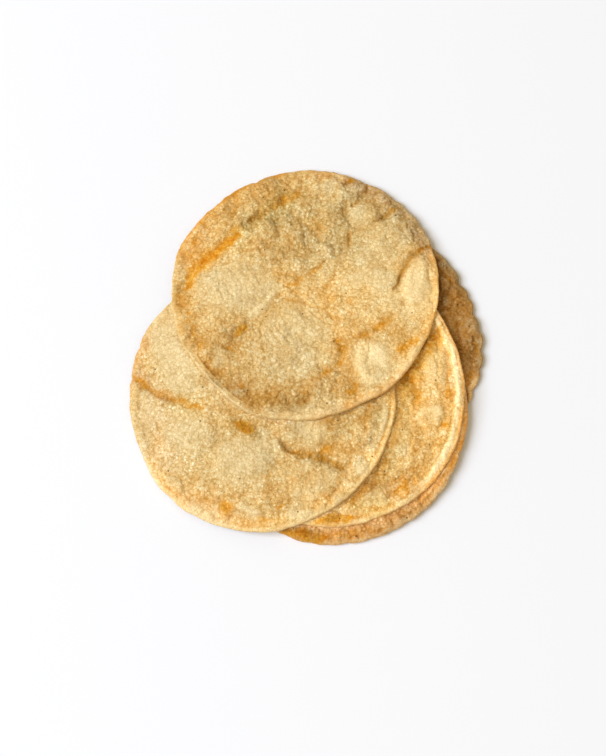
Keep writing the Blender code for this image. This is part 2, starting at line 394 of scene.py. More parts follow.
    def relief(self, x, y, wx, wy, angle, inward):
        """How the upper side rises above the flat dough, and what of that the colour follows, partly as
        painted shade in its hollows and dips.
        """
        height, hollow = self.drawn_relief(wx, wy, angle, inward)
        height -= hollow
        pale = marked(wx, wy, self.pale, CRISPNESS["pale"])
        rim_calm = RIM_ROUGHNESS + (1 - RIM_ROUGHNESS) * eased(inward / RIM_BAND)
        calm = 1 - rim_calm * (1 - 0.7 * pale)
        rough = 1 + 1.9 * marked(wx, wy, self.dull) + 0.4 * self.noise.at(x + 90, y, 19.0)
        rough *= 1 - 0.8 * calm
        puffs, _ = self.bubbles.at(wx + 40, wy, PUFF_PITCH)
        swell = 0.55 * self.noise.at(x, y, SWELL_PITCH) + 2.2 * (puffs - 0.4)
        ripple = self.noise.at(y, x, RIPPLE_PITCH)
        height += rough * (SWELL * swell + RIPPLE * ripple)
        rim_puffs, _ = self.bubbles.at(wx + 77, wy + 33, RIM_PUFF_PITCH)
        here_and_there = eased(0.5 + 1.2 * self.noise.at(x - 40, y, 17.0))
        rim_puffs *= eased((RIM_PUFF_BAND - inward) / 2.5) * here_and_there
        height += RIM_PUFF * rim_puffs
        large, own = self.bubbles.at(x, y, LARGE_GRAIN_PITCH)
        small, _ = self.bubbles.at(y, x, SMALL_GRAIN_PITCH)
        grain = 0.5 * large * (0.4 + 0.6 * own) + 0.5 * small
        height += GRAIN * rough * grain
        lumps = rough * (0.6 * swell + 0.5 * ripple)
        return height, rim_puffs, {"hollow": hollow, "lumps": lumps, "grain": grain, "calm": calm}

    def colour_marks(self, wx, wy, angle, inward):
        """How toasted, pale, dull, warm and pink the dough is painted where it shows, painted shade and
        painted light included.
        """
        marks = {"scorch": marked(wx, wy, self.scorch, CRISPNESS["scorch"], tapered=True)}
        for kind in ("pale", "dull", "warmth", "blush"):
            drawn = marked(wx, wy, getattr(self, kind), CRISPNESS[kind])
            marks[kind] = either(drawn, around(angle, inward, getattr(self, "rim_" + kind)))
        return marks

    def own_marks(self, x, y):
        """The same where it is hidden: toasted creases and spots of its own, and pale places."""
        crease = eased(1 - np.abs(self.noise.rough(x + 500, y, 34.0)) / 0.06)
        crease *= eased((self.noise.at(x, y + 400, 23.0) + 0.2) * 2)
        spot = eased((self.noise.rough(x, y + 700, 15.0) - 0.42) * 6)
        scorch = np.maximum(OWN_CREASE * crease, OWN_SPOT * spot)
        pale = OWN_PALENESS * eased(0.5 + 1.2 * self.noise.rough(x + 900, y, 26.0))
        return {"scorch": scorch, "pale": pale, "dull": 0.0, "warmth": 0.0}


# Whole in sight and well puffed: pale blisters, a long toasted crease at the upper left.
TOP = dict(
    blisters=[
        (-39, 1, 25, 17, 5, 1.5), (-4, -28, 22, 21, 100, 1.4), (37, -43, 16, 14, 0, 1.2),
        (63, 9, 18, 10, 78, 1.9), (64, -10, 11, 9, 90, 1), (33, 47, 10, 9, 30, 2.1),
        (31, 65, 4, 5, 0, 0.9), (22, 58, 5, 5, 0, 1.1), (43, 58, 4.5, 3.5, 0, 1.3),
        (49, 51, 3.5, 3, 0, 1), (60, 38, 7, 5, 120, 1.1), (12, 64, 14, 9, 0, 1.3),
        (-27, 57, 17, 11, 20, 1.3), (-56, 37, 20, 12, 52, 1.2), (-21, 37, 13, 6, 100, 1.4),
        (-6, 36, 11, 5, 95, 1.1), (15, 25, 16, 8, 100, 1), (36, 6, 18, 9, 5, 1), (14, -8, 11, 8, 60, 0.7),
        (47, 31, 15, 10, 20, 1), (-47, -42, 10, 6, 45, 1), (8, -58, 13, 8, 10, 1),
        (36, -59, 8, 5, 20, 0.8), (50, -10, 9, 7, 0, 0.7), (-46, -14, 12, 6, 0, 0.6),
        (-6, 14, 9, 6, 20, 0.9),
    ],
    ridges=[
        (1.8, 0.6, (-10, 28), (-10, 42)), (5.6, 1, (40, -36.5)),
        (1.5, 0.6, (33, -29), (29, -36), (29, -45), (33, -51), (40, -53)),
        (2.2, 0.9, (52, -49), (60, -40), (66, -28), (70, -18)), (1.5, 0.6, (13, 18), (13, 32)),
        (1.6, 0.5, (-30, -16), (-22, -8), (-14, 0)),
    ],
    grooves=[
        (2.2, 0.9, (-71, -8), (-70, 2), (-65, 10), (-57, 18), (-50, 25), (-43, 30), (-34, 38)),
        (1.5, 0.75, (-38, 38), (-33, 42), (-27, 45.5), (-17, 52), (-8, 58), (-1, 64)),
        (1.3, 1, (50, 2), (53, 8), (56, 14), (59, 20), (64, 25), (68, 27), (73, 29)),
        (0.7, 0.5, (69.5, 22), (71, 8), (70, -6)),
        (1.3, 1.1, (35.5, 67), (34, 61.5), (30.5, 58), (29, 55), (26, 53)),
        (1.6, 0.35, (9, 24), (7, 40), (10, 56)), (1.7, 0.7, (23, 54), (21, 42), (25, 34), (26, 28)),
        (1.5, 0.7, (-11, 1), (-5, 4), (-1, 8), (3, 10), (10, 18)),
        (1.7, 0.6, (28, -28), (36, -25), (45, -19), (50, -14)),
        (0.9, 0.4, (36, -33), (34, -39), (34, -45), (37.5, -50)),
        (2, 0.8, (18, -28), (21, -35), (20, -42), (14, -46), (5, -51)),
        (4.5, 1.1, (-50, -48), (-41, -56), (-31, -61), (-19, -65), (-8, -66), (2, -63)),
        (1.6, 0.6, (-57, -44), (-50, -47), (-45, -51)), (1.4, 0.6, (-47, -34), (-39, -36)),
        (1.4, 0.6, (-33, 30), (-31, 40), (-27, 47)), (1.5, 0.35, (-16, 30), (-15, 46)),
        (1.3, 0.5, (-22, 60), (-16, 56)), (1.4, 0.9, (41, 43), (46, 46), (50, 49.5), (56, 52)),
        (0.9, 0.8, (62, 31), (70, 28.5)), (0.9, 0.6, (24, 37), (27, 31)),
        (0.9, 0.6, (-16, -9), (-4, -6), (8, -10), (16, -19)),
        (0.9, 0.5, (-25, -20), (-26, -30), (-22, -42)), (1, 0.7, (-28, -19), (-20, -11), (-12, -3)),
        (1.6, 0.5, (-42, 42), (-39, 52), (-40, 60)), (1.5, 0.5, (-14, 6), (-14, 16), (-8, 20)),
    ],
    scorch=[
        (3.3, 1, (-68, 3), (-63, 13), (-56, 19), (-49, 25), (-44, 29), (-39, 33)),
        (2.2, 0.65, (-43, 35), (-36, 38.5)), (1.2, 0.35, (-33, 41), (-28, 45), (-23, 48)),
        (2.5, 0.66, (-18, 51.5), (-13, 54.5), (-8, 57), (-4, 60)), (1.6, 0.4, (-69, 2), (-69, -5)),
        (2.4, 0.6, (-67, -14), (-65, -19)), (2, 0.55, (-63, -21), (-61, -27)),
        (2.2, 0.5, (-60, -30), (-58, -35)), (1.7, 0.32, (-56, -42), (-51, -46)),
        (1.5, 0.32, (-46, -49), (-42, -53)), (1.9, 0.4, (-38, -56), (-33, -57)),
        (2.7, 1, (-39, -25), (-33, -22)), (1.5, 0.65, (-46, -34), (-40, -36)),
        (1.9, 0.6, (-9, 1), (-5, 3), (-1, 7)), (1.5, 0.5, (2, 9), (7, 15)), (1.3, 0.4, (-8, -2), (0, -3)),
        (1.8, 0.45, (-18, 9)), (2, 0.5, (12, -3), (16, -8)), (1.5, 0.4, (22, -4), (25, -8)),
        (1.8, 0.68, (38, -22), (43, -20), (48, -16)), (1.5, 0.42, (27, -27), (34, -26)),
        (2.3, 0.85, (18, -29), (21, -34), (21, -40), (18, -44)), (1.8, 0.6, (16, -46), (9, -50)),
        (2, 0.85, (52, -35), (56, -31), (63, -29)), (1.5, 0.6, (53, -38), (57, -36)),
        (2, 0.75, (23, -59), (29, -55)), (1.6, 0.5, (17, -59)), (1.8, 0.4, (1, -60)),
        (1.7, 0.65, (51, 4), (54, 11), (57, 17), (60, 22), (66, 26), (72, 29)), (2.4, 0.9, (27, 70)),
        (1.7, 0.8, (44, 45), (51, 50)), (2.4, 0.7, (-62, 40), (-59, 46)),
        (1.9, 0.5, (-62, 31), (-64, 26)), (1.8, 0.5, (-42, 44), (-41, 50)), (1.2, 0.7, (-65.5, 22)),
        (2.4, 0.5, (-36, -56)),
    ],
    warmth=[
        (5, 0.42, (-65, 14), (-69, 0), (-67, -14), (-63, -25), (-58, -37), (-52, -46)),
        (6, 0.22, (-52, -46), (-42, -54), (-30, -60), (-14, -62), (0, -58)),
        (6, 0.25, (0, -58), (14, -52), (20, -40), (19, -30)),
        (9, 0.25, (-50, -20), (-40, -30), (-44, -40)),
        (10, 0.3, (-62, 26), (-52, 42), (-40, 54), (-20, 64)), (4, 0.5, (-70, 20), (-62, 42), (-44, 59)),
        (7, 0.2, (-44, 20), (-32, 26)), (3.5, 0.4, (20, -18), (22, -40)), (8, 0.3, (12, -2), (22, -8)),
        (7, 0.3, (30, -25), (45, -19)), (6, 0.4, (56, -33)), (4, 0.3, (22, -45)),
        (3.5, 0.5, (-60, 44), (-50, 54)), (4, 0.4, (-2, 71), (10, 71)),
        (5, 0.25, (66, -22), (71, 4), (68, 26)), (3.5, 0.5, (54, 10), (57, 18), (63, 24)),
        (2.5, 0.4, (25, -32), (24, -44), (29, -54)), (6, 0.3, (24, -57)), (6, 0.25, (-16, 10), (-6, 2)),
        (12, 0.15, (-20, 30), (-5, 45)),
    ],
    # Pale places: paler dough on the blisters. On the right, on the leaf near (64, 7), the round blister
    # near (38, -40) and from (42, 14) to (56, -4), the paleness is partly painted light that lifts the
    # shade of slopes facing away from the key.
    pale=[
        (14, 0.6, (-46, 1), (-31, 2)), (9, 0.3, (-44, 1)), (16, 0.48, (-5, -25), (-3, -31)),
        (6.5, 0.95, (39.5, -38)), (2, 0.6, (31, -31), (28, -38), (28.5, -46), (33, -51.5), (40, -53)),
        (14, 0.45, (37, -43)), (12, 0.35, (42, 14), (56, -4)), (6, 0.55, (32, 46)),
        (8.5, 0.7, (65, -2), (63, 16)), (4.5, 0.5, (61, -4), (60, 10)), (5, 0.4, (27, 5), (46, 7)),
        (12, 0.2, (36, 26), (48, 34)), (5, 0.45, (12, 63)), (2.2, 0.6, (52, -50), (60, -41), (66, -29)),
        (3.5, 0.6, (-6, -71), (8, -71)), (4, 0.35, (8, -57)), (3.5, 0.5, (-48, -42)), (4, 0.3, (-20, 38)),
        (1.8, 0.5, (-30, -16), (-22, -8), (-14, 0)), (3, 0.4, (22, 58)),
    ],
    # Darker places: partly the dough's own duller tone, partly painted shade on the far side that slopes
    # away from the key, in the groove inside the lower rim and along creases. Marks below 0 on the round
    # blister near (40, -40) and its ring, on the right from (20, 0) to (64, 14), and near (5, 40), (20,
    # 34) and (37, 45) are painted light that lifts the shade of slopes and grooves.
    dull=[
        (20, 0.34, (-12, 52), (8, 44)), (13, 0.22, (-6, 26), (14, 28)), (5, 0.45, (-21, 66), (-16, 58)),
        (5, 0.4, (-33, 46), (-22, 42)), (4, 0.45, (-12, 48), (-8, 38), (-2, 30)),
        (4, 0.5, (20, 52), (22, 38)), (4, 0.35, (14, 26)), (4, 0.3, (-10, 20)),
        (4, 0.9, (28, 69), (30, 60)), (8, 0.45, (60, 38), (50, 53)),
        (5.5, 0.6, (-50, -48), (-41, -56), (-31, -61), (-19, -65), (-8, -66), (0, -63)),
        (5, 0.35, (-45, -26), (-48, -38)), (2.6, 0.9, (-39, -25), (-34, -22.5)),
        (4, 0.3, (20, -32), (19, -43)), (4, 0.35, (15, -48), (8, -52)), (3, 0.45, (24, -58)),
        (17, 0.3, (-44, -30), (-16, -44)), (8, -0.2, (10, -22), (14, -42)), (4, -0.65, (4, 40), (8, 38)),
        (3.5, -0.6, (20, 34)), (4, -0.45, (37, 45)), (2, 1.3, (44, 45), (50, 49.5)), (3.8, 0.7, (48, 53)),
        (2.5, 0.6, (28, 66)), (4, 0.35, (-42, 50), (-30, 36), (-21, 20)),
        (1.4, 0.9, (-36, 39.5), (-31, 42.5), (-23, 48)), (3, -0.35, (-65, 10), (-56, 19), (-44, 29)),
        (3, -0.3, (20, 64), (16, 54)), (5, -0.5, (47, -40)), (4.5, -0.6, (39, -37)),
        (1.8, -0.5, (31, -33), (28.5, -41), (30, -48), (36, -53)), (3.5, 0.35, (12, 20)),
        (4.5, 0.5, (61, 37), (67, 28)), (15, -0.25, (20, 0), (52, 2)), (7, -0.4, (64, -6), (62, 14)),
        (9, 0.25, (-4, -60), (16, -56)), (3, 0.3, (-70, 14), (-71, -3), (-68, -18), (-63, -32)),
        (1.8, 0.85, (51, 4), (54, 11), (57, 17), (60, 22), (66, 26), (72, 29)),
        (6, 0.3, (-50, 4), (-34, -4)),
    ],
    # From 20 to 74 degrees the dull band is painted shade on the rim that slopes away from the key; the
    # bands below 0 are painted light at the edge of the rim.
    rim_dull=[(20, 74, 4, 6, 0.5), (-75, 14, 2, 2.5, -0.3), (-40, 30, 0.4, 1.3, -0.4)],
    blush=[
        (6, 0.25, (-66, 18), (-60, 34)), (5, 0.4, (28, 68), (46, 58)), (3, 0.5, (64, 36), (72, 24)),
        (4, 0.5, (-38, -57)), (6, -0.5, (-38, 34), (-12, 55)), (18, -0.15, (-6, 40), (20, 36)),
    ],
    rim_warmth=[
        (95, 165, 1, 2, 0.75), (168, 255, 4.5, 1.5, 0.2), (255, 385, 1.5, 3, 0.4),
        (300, 330, 0.8, 2.5, 0.6),
    ],
    rim_blush=[(10, 90, 2, 4, 0.4), (270, 330, 1.5, 2.5, 0.4)],
    rim_pale=[
        (33, 50, 1, 1.5, 0.5), (248, 290, 3, 3, 0.45), (205, 250, 1.2, 1.3, 0.6),
        (290, 345, 1.5, 1.5, 0.4),
    ],
    rim_folds=[(205, 262, 2.4, 0.7, 0.8), (210, 250, 4.4, 0.6, 0.6), (250, 300, 5.5, 1.2, 0.5)],
    wrinkles=[
        (-4, -28, 21, 19, 100, 130, 2.6, 0.6), (-40, 2, 20, 14, 10, 120, 2.2, 0.4),
        (38, -40, 10, 9, 0, 60, 2.4, 0.25), (-8, 40, 26, 24, 0, 112, 3.4, 0.3),
        (18, 40, 22, 12, 90, 82, 3.4, 0.3), (46, 52, 16, 12, 130, 60, 3.4, 0.35),
    ],
    rim_lips=[(200, 262, 0.9, 0.6, 0.5), (208, 255, 3.2, 0.6, 0.6)],
    ragged=[(15, 90, 0.9), (90, 172, 0.45)],
    notches=[(75, 0.9, 2.2), (63, 1, 2), (32, 1, 2.2), (113, 0.7, 2), (48, 0.5, 1.8)],
    flecks=[
        (-24, 57.5), (-22, -16), (-24, -12), (-1.5, -14.5), (23, -2), (52, 46.5), (12, -65.5), (-23, 24),
        (-32, -58), (16, -30), (-12, 62), (60, -13),
    ],
)

# Half in sight: a toasted crease at the left, a doubled rim at the right.
FRONT_LEFT = dict(
    blisters=[
        (26, -16, 22, 16, 0, 1.8), (28.5, -21, 9, 11, 0, 2.3), (-49, 18, 28, 18, 150, 1.4),
        (-6, -62, 10, 5, -20, 1.2), (34, -50, 14, 10, 40, 1.2), (53, -40, 8, 6, 55, 1.1),
        (64, -14, 19, 7, 80, 1.35), (-42, -22, 22, 15, 20, 0.9), (-10, -36, 20, 14, 0, 1.1),
        (43, -57, 6, 4, 40, 1.1), (22, -65, 11, 5, 10, 1), (-30, -52, 12, 8, -30, 0.7),
        (-62, -10, 12, 8, 80, 0.7), (-48, -49, 7, 4, -45, 1),
    ],
    ridges=[(1.5, 0.5, (-12, -61), (-2, -66)), (1.2, 0.5, (-52, -46), (-46, -51))],
    grooves=[
        (1.8, 0.8, (-74, 13), (-68, 8), (-60, 4), (-52, 1), (-46, -3), (-40, -6), (-33, -7)),
        (1.7, 0.55, (-18, -15), (-10, -18), (0, -22), (8, -25), (15, -29)),
        (1.7, 0.6, (14, -29), (20, -32), (27, -34), (35, -36), (42, -39)),
        (1.4, 0.5, (34, -33), (41, -28)), (1.2, 0.4, (-58, -14), (-54, -22)),
        (1.5, 0.5, (59, 0), (58, -12), (55, -26)), (1.6, 0.35, (2, -38), (6, -50), (7, -60)),
    ],
    scorch=[
        (1.9, 0.58, (-74, 13), (-68, 8), (-60, 5), (-52, 2), (-46, -2), (-40, -5), (-34, -6)),
        (2.6, 0.4, (-73, 11), (-64, 6)), (2.2, 0.5, (-38, -7), (-35, -7)),
        (1.5, 0.5, (-32, -6), (-32, -1)), (2.8, 1.2, (-14, -14.8), (-10, -16.5), (-5.5, -18)),
        (2.1, 0.74, (16, -30), (23, -33), (30, -34), (38, -37), (45, -40)),
        (2.2, 0.75, (34, -32), (40, -28)), (1.5, 0.45, (44, -42), (43, -48)), (3.3, 1, (-20, -61)),
        (2, 0.5, (-36, -54)), (1.8, 0.5, (-55, -46)), (1.6, 0.65, (9, -62), (13, -60)),
        (1.4, 0.4, (-12, -56)), (1.4, 0.5, (-3, -68), (6, -70)),
    ],
    warmth=[
        (6, 0.45, (-44, -52), (-30, -58)), (4, 0.35, (12, -26), (20, -31)),
        (6, 0.3, (40, -30), (48, -46)), (5, 0.25, (-56, -27)), (6, 0.3, (18, -53), (34, -57)),
        (5, 0.25, (11, -45)), (5, 0.3, (-20, -60), (-16, -54)), (4, 0.3, (-70, 22), (-73, 0)),
        (4, 0.25, (-62, -38), (-45, -59)), (4, 0.4, (-16, -72), (12, -73)),
        # Along the top round's rim, the next two lines are painted golden shade.
        (8, 0.25, (-28, -10), (-8, -12)), (12, 0.3, (36, -10), (56, -6)),
        (3, 0.45, (30, -17), (46, -14), (64, -6)), (6, 0.3, (-14, -10), (8, -16)),
        (7, 0.3, (52, -24), (46, -32)), (6, 0.3, (6, -46), (8, -60)), (9, 0.2, (24, -46), (36, -58)),
    ],
    pale=[
        (9.5, 0.62, (-56, 44), (-50, 24), (-46, 14)), (5, 0.4, (-42, 4)),
        (9, 0.5, (-46, -20), (-38, -20)), (5, 0.4, (-64, 0), (-64, -14)),
        (12, 0.52, (-14, -34), (-5, -32)), (5, 0.5, (24, -18), (32, -18)), (6.5, 0.6, (28.5, -21)),
        (1.8, 0.9, (67.5, -6), (67, -19)), (1.5, 0.9, (66.5, -22), (65.5, -26)), (1.6, 0.8, (63, -30)),
        (3.6, 0.85, (55, -42)), (2.8, 0.8, (42, -57)), (3.5, 0.4, (34, -49)),
        (11, 0.25, (24, -50), (34, -44)), (2.6, 0.75, (-11, -61), (-3, -66)),
        (2.6, 0.7, (17, -66), (28, -65)), (4, 0.4, (-26, -68), (-40, -62)),
        (2.2, 0.5, (-50, -47), (-45, -51)),
    ],
    dull=[
        (3, 0.25, (-66, 6), (-50, 0)), (2.3, 1, (-14, -15), (-10, -17), (-5.5, -18.5)),
        (2.4, 0.35, (-2, -21), (6, -25)),
        (2, 0.95, (10, -26), (17, -31), (24, -34), (32, -35), (43, -40)),
        # Along the top round's rim, from (30, -17) to (64, -6) and from (-18, -8) to (20, -18), the dull
        # marks are painted shade, and so is the groove inside the right rim from (63, -4) to (60, -27).
        (4.5, 0.25, (2, -38), (6, -50), (7, -60)), (2.6, 0.35, (30, -17), (46, -14), (64, -6)),
        (6, 0.3, (-18, -8), (6, -18), (20, -18)), (2.4, 0.6, (63, -4), (62, -14), (60, -27)),
        # (4, -23) and (32, -26) to (37, -16), below 0, are painted light that lifts the shade of grooves.
        (3, -0.6, (4, -23)), (3, -0.4, (32, -26), (37, -16)), (5, -0.2, (-3, -61)),
        (3, 0.3, (34, -26), (40, -14)), (6, 0.2, (-26, -22)), (5, 0.2, (-68, 12)),
    ],
    blush=[
        (8, 0.35, (-60, -8), (-54, -34)), (6, 0.3, (-40, -56), (-18, -64)),
        (5, -0.3, (-14, -14.5), (-4, -18)), (3, 0.6, (-70, 13), (-62, 6), (-52, 1)),
        (7, -0.3, (34, -12), (66, -8)), (5, -0.3, (-50, -1), (-40, -5)),
    ],
    rim_warmth=[(318, 366, 1, 3.5, 0.42), (120, 168, 3, 4, 0.3)],
    rim_blush=[(145, 178, 3, 3.5, 0.5), (200, 270, 4, 4, 0.25)],
    # The dull bands below 0 along the lower and right rim are painted light that lifts the shade of the
    # rounded rim.
    rim_dull=[(205, 335, 3.5, 3.5, -0.35), (205, 360, 0.5, 1.2, -0.22), (325, 362, 5, 5, -0.5)],
    rim_pale=[(285, 357, 1.2, 1.3, 0.5), (200, 290, 0.8, 1.4, 0.55)],
    rim_folds=[(320, 364, 3, 0.5, 0.9), (262, 330, 2.8, 0.6, 0.4)],
    wrinkles=[
        (-6, -64, 7, 4, 0, 30, 1.8, 0.4), (26, -17, 15, 10, 0, 80, 2.6, 0.3),
        (-12, -36, 16, 12, 0, 130, 3, 0.35), (-44, -20, 16, 12, 0, 60, 3, 0.3),
        (22, -50, 22, 14, 0, 95, 3.6, 0.4),
    ],
    notches=[(157, 0.7, 2), (171, 0.8, 2.2), (180, 0.4, 2)],
    flecks=[
        (-60, 16), (-34, -14), (42, -14), (29, -13), (61, -34), (20, -64.5), (-52, -41), (-33, 5),
        (14, -2), (-12, -46),
    ],
)

# A broad crescent in sight, with a raised pale rim.
FRONT_RIGHT = dict(
    blisters=[
        (58, 16, 18, 8, 105, 1.7), (56, -12, 10, 9, 90, 1.4), (26, -57, 11, 7, 25, 1.5),
        (37, -26, 13, 9, 90, 1.1), (45, -52, 9, 7, 30, 0.8), (42, 15, 10, 7, 80, 0.6),
        (52, -36, 9, 7, 60, 0.8),
    ],
    ridges=[(1.4, 0.5, (63, 24), (65, 12), (64, 2)), (1.6, 0.6, (73, 8), (73, -8))],
    grooves=[
        (1.3, 0.6, (60, 28), (61, 14), (60, 2)), (1.1, 0.6, (18, -66), (27, -65.5), (36, -63)),
        (1.6, 0.6, (43, 8), (48, 1), (47, -8)), (1.6, 0.6, (66, 27), (68, 10), (67, -4)),
        (1.5, 0.5, (62, -17), (58, -30), (52, -42)), (1.5, 0.5, (30, -52), (36, -48), (46, -44)),
    ],
    scorch=[
        # The first mark here, and (60, 38) to (57, 30) and (53, 27) below, lie along the top round's rim:
        # partly toasting, partly painted shade.
        (2.6, 0.72, (61, 38), (54, 23), (47, 13), (40, 6)), (3.2, 0.6, (41, 9), (46, 5)),
        (3.4, 0.75, (48, 0), (52, -3)), (1.8, 0.6, (44, -7), (52, -4)), (1.6, 0.4, (60, 38), (57, 30)),
        (1.6, 0.45, (53, 27)), (1.6, 0.55, (66, 7), (65, -3)), (0.9, 0.5, (66, 27), (68, 10), (66, 0)),
        (0.8, 0.5, (60, -6), (72, -11)), (1.9, 0.75, (63, -19)), (1.6, 0.5, (44, -26), (47, -33)),
        (1.8, 0.5, (48, -42)), (3, 0.85, (37, -55), (42, -54)), (1.8, 0.55, (46, -52)),
        (1.6, 0.45, (30, -63), (38, -62)), (3, 1.1, (-8, -72), (0, -72), (12, -71.5)),
        (1.6, 0.4, (62, -30), (58, -38)),
    ],
    warmth=[
        (8, 0.4, (48, 4), (50, -10), (48, -30)), (7, 0.35, (38, -54), (50, -50)),
        # From (61, 33) to (42, 3), along the top round's rim, and from (39, 0) to (14, -60), along the
        # front-left round's rim, the warmth is painted golden shade; so are (20, -52) to (37, -54) and
        # (60, 38) to (56, 28) below.
        (4, 0.8, (61, 33), (53, 16), (42, 3)), (3, 0.9, (39, 0), (36.5, -24), (28, -44), (14, -60)),
        (4, 0.4, (63, 24)), (4, 0.4, (66, -9)), (4, 0.35, (66, 10), (66, -10), (62, -28)),
        (5, 0.1, (6, -68), (30, -65)), (5, 0.5, (20, -52), (37, -54)),
        (3.5, 0.4, (47, -24), (49, -34), (47, -44)), (4, 0.3, (60, 38), (56, 28)),
    ],
    pale=[
        (4.5, 0.6, (57, 22), (56, 10)), (1.8, 0.6, (64, 24), (65, 12), (64, 3)), (6, 0.6, (56, -12)),
        (4, 0.4, (64, -9)), (6.5, 0.4, (38, -29), (38, -20)), (5, 0.5, (24, -58), (28, -56)),
        (4, 0.3, (54, -34)),
    ],
    dull=[
        # Along the top round's rim from (61, 38) to (41, 7), and along the front-left round's rim from
        # (39.5, -2) down to (16, -60), the dull marks are painted shade; (43, 9) to (52, 21), below 0, is
        # painted light.
        (3.2, 0.3, (39.5, -2), (37, -24), (29, -43)), (4.5, 0.5, (34, -34), (22, -50)),
        (3.5, -0.3, (43, 9), (52, 21)), (2, 0.5, (61, 38), (54, 23), (47, 13), (41, 7)),
        (4, 0.4, (22, -54), (34, -50)), (4, 0.4, (34, -56), (44, -48)), (2.6, 0.6, (42, 6), (47, -1)),
        (4, 0.25, (46, -40)), (3, 0.6, (-3, -71), (4, -70)), (4, 0.8, (21, -50), (16, -60)),
        (3, 0.45, (47, -24), (49, -32), (47, -43)), (2.5, -0.35, (62, 31), (65, 12)),
    ],
    blush=[
        (4, 0.3, (68, 22), (69, -2)), (5, 0.4, (34, -54), (46, -54)), (4, 0.7, (0, -72), (12, -72)),
        (5, -0.8, (56, 26), (42, 5)), (5, -0.4, (40, -2), (37, -26), (28, -46)),
        (5, -0.4, (14, -65), (26, -64)),
    ],
    # On the right rim the dull bands below 0 are painted light that lifts the shade of its rounding, and
    # the pale band there is partly that too.
    rim_dull=[(-50, 44, 3.6, 1.8, -0.6), (-52, 44, 0.4, 1.5, -0.5), (240, 312, 1, 2, -0.2)],
    rim_pale=[(-50, 44, 3.8, 1.5, 0.95), (270, 312, 1.5, 1.5, 0.5)],
    rim_warmth=[(-50, 44, 0.2, 1.2, 0.5), (240, 312, 3, 2, 0.3)],
    rim_blush=[(-50, 44, 1.5, 3, 0.4)],
    rim_folds=[(-40, 42, 6, 0.6, 0.8), (255, 320, 3.6, 0.7, 0.7), (-45, 44, 1.7, 0.4, 0.5)],
    rim_lips=[(-50, 44, 3.8, 1.4, 0.7)],
    wrinkles=[
        (26, -57, 9, 6, 25, 120, 1.9, 0.4), (59, 14, 14, 6, 105, 100, 2, 0.3),
        (40, -44, 16, 10, 60, 40, 3, 0.4),
    ],
    notches=[(288, 0.5, 2), (301, 0.5, 2)],
    flecks=[(59, 6), (40, -22), (5, -71), (57, -60), (30, -45), (55, -30)],
)

# A narrow crescent in sight along its near rim.
NEAR_RIM = dict(
    blisters=[(30, -64, 18, 6, 25, 0.9), (60, -36, 16, 6, 60, 0.9), (-14, -69, 14, 5, -8, 0.8)],
    grooves=[(1.4, 0.5, (-20, -68), (0, -70), (25, -66), (48, -54), (66, -32))],
    scorch=[
        (3.2, 1.1, (-29, -68), (-20, -70), (-10, -71), (-4, -71)),
        # From (62, -34) to (74, -4) the scorch is partly painted golden shade under the rim of the round
        # above.
        (1.6, 0.5, (0, -70), (10, -67), (16, -66)), (2, 0.5, (62, -34), (68, -26), (71, -18)),
        (2, 0.35, (72, -12), (74, -4)), (1.6, 0.4, (56, -42), (50, -49)),
    ],
    warmth=[
        (5, 0.45, (-4, -70), (20, -68)), (5, 0.1, (20, -68), (44, -56)),
        # This warmth along the right is partly painted golden shade under the rim of the round above.
        (5, 0.6, (48, -52), (66, -30), (74, 0)),
    ],
    pale=[(2, 0.3, (34, -64), (44, -58))],
    dull=[
        (5, 0.75, (-32, -67), (-12, -71)), (6, 0.4, (-20, -69), (20, -68), (46, -54)),
        # (56, -44) to (72, -8), below 0, is painted light that lifts some of the shade under the rim of
        # the round above.
        (1.5, 0.5, (24, -66)), (1.6, 0.4, (38, -60)), (5, -0.2, (56, -44), (72, -8)),
    ],
    rim_pale=[(262, 345, 0.8, 1.2, 0.5)],
    rim_folds=[(240, 345, 3.2, 0.8, 0.8)],
    wrinkles=[(30, -62, 40, 8, 30, 110, 3, 0.4)],
    notches=[(angle, 0.6, 1.6) for angle in (276, 285, 294, 303, 311, 321, 331, 341)],
    flecks=[(40, -60), (12, -70)],
)

